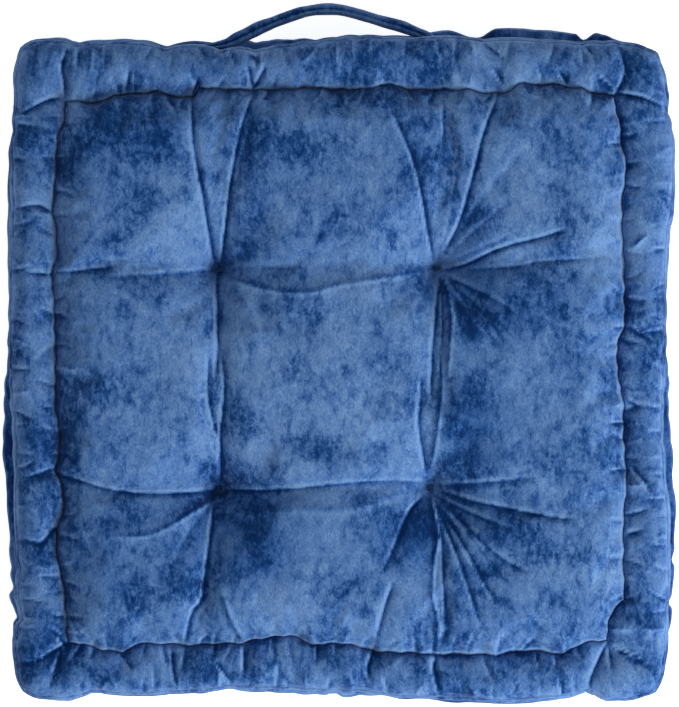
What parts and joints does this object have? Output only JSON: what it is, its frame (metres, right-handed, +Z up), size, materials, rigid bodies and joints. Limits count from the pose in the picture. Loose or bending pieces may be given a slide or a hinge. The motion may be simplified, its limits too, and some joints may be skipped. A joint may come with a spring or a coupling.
{
  "type": "floor cushion",
  "caption": "Square tufted velvet floor cushion with stitched rolled edges, a side gusset and a fabric carry handle.",
  "frame": {"origin": "middle of the flat underside, on the floor", "axes": "+Z up through the seat face, +Y towards the side with the carry handle, +X to the right"},
  "size_m": [0.51, 0.5363, 0.104],
  "materials": {
    "velvet": "crushed velvet, short pile that shades from light to dark blue",
    "handle_velvet": "the cover's crushed velvet, folded over webbing",
    "seam": "turned velvet seam allowance",
    "thread": "dark blue polyester sewing thread",
    "twine": "waxed upholstery twine",
    "fibre_fill": "white hollow polyester fibre",
    "webbing": "woven polyester webbing"
  },
  "bodies": {
    "cushion": {"top_cover_panel": "velvet", "bottom_cover_panel": "velvet", "gusset_right": "velvet", "gusset_back": "velvet", "gusset_left": "velvet", "gusset_front": "velvet", "top_edge_seam": "seam", "bottom_edge_seam": "seam", "core_fill": "fibre_fill", "top_roll_fill": "fibre_fill", "bottom_roll_fill": "fibre_fill", "top_roll_stitching": "thread", "bottom_roll_stitching": "thread", "upper_gusset_stitching": "thread", "lower_gusset_stitching": "thread", "tuft_twine_1": "twine", "tuft_twine_2": "twine", "tuft_twine_3": "twine", "tuft_twine_4": "twine", "tuft_stitch_top_1": "thread", "tuft_stitch_top_2": "thread", "tuft_stitch_top_3": "thread", "tuft_stitch_top_4": "thread", "tuft_stitch_bottom_1": "thread", "tuft_stitch_bottom_2": "thread", "tuft_stitch_bottom_3": "thread", "tuft_stitch_bottom_4": "thread", "handle_tab_left": "handle_velvet", "handle_tab_right": "handle_velvet", "handle_stitching_left": "thread", "handle_stitching_right": "thread"},
    "handle": {"handle_strap": "handle_velvet", "handle_webbing": "webbing"}
  },
  "joints": [
    {"name": "handle_swing", "type": "hinge", "parent": "cushion", "child": "handle", "pos_m": [-0.0065, 0.2535, 0.05], "axis": [1, 0, 0], "range_deg": [-40, 50]}
  ]
}
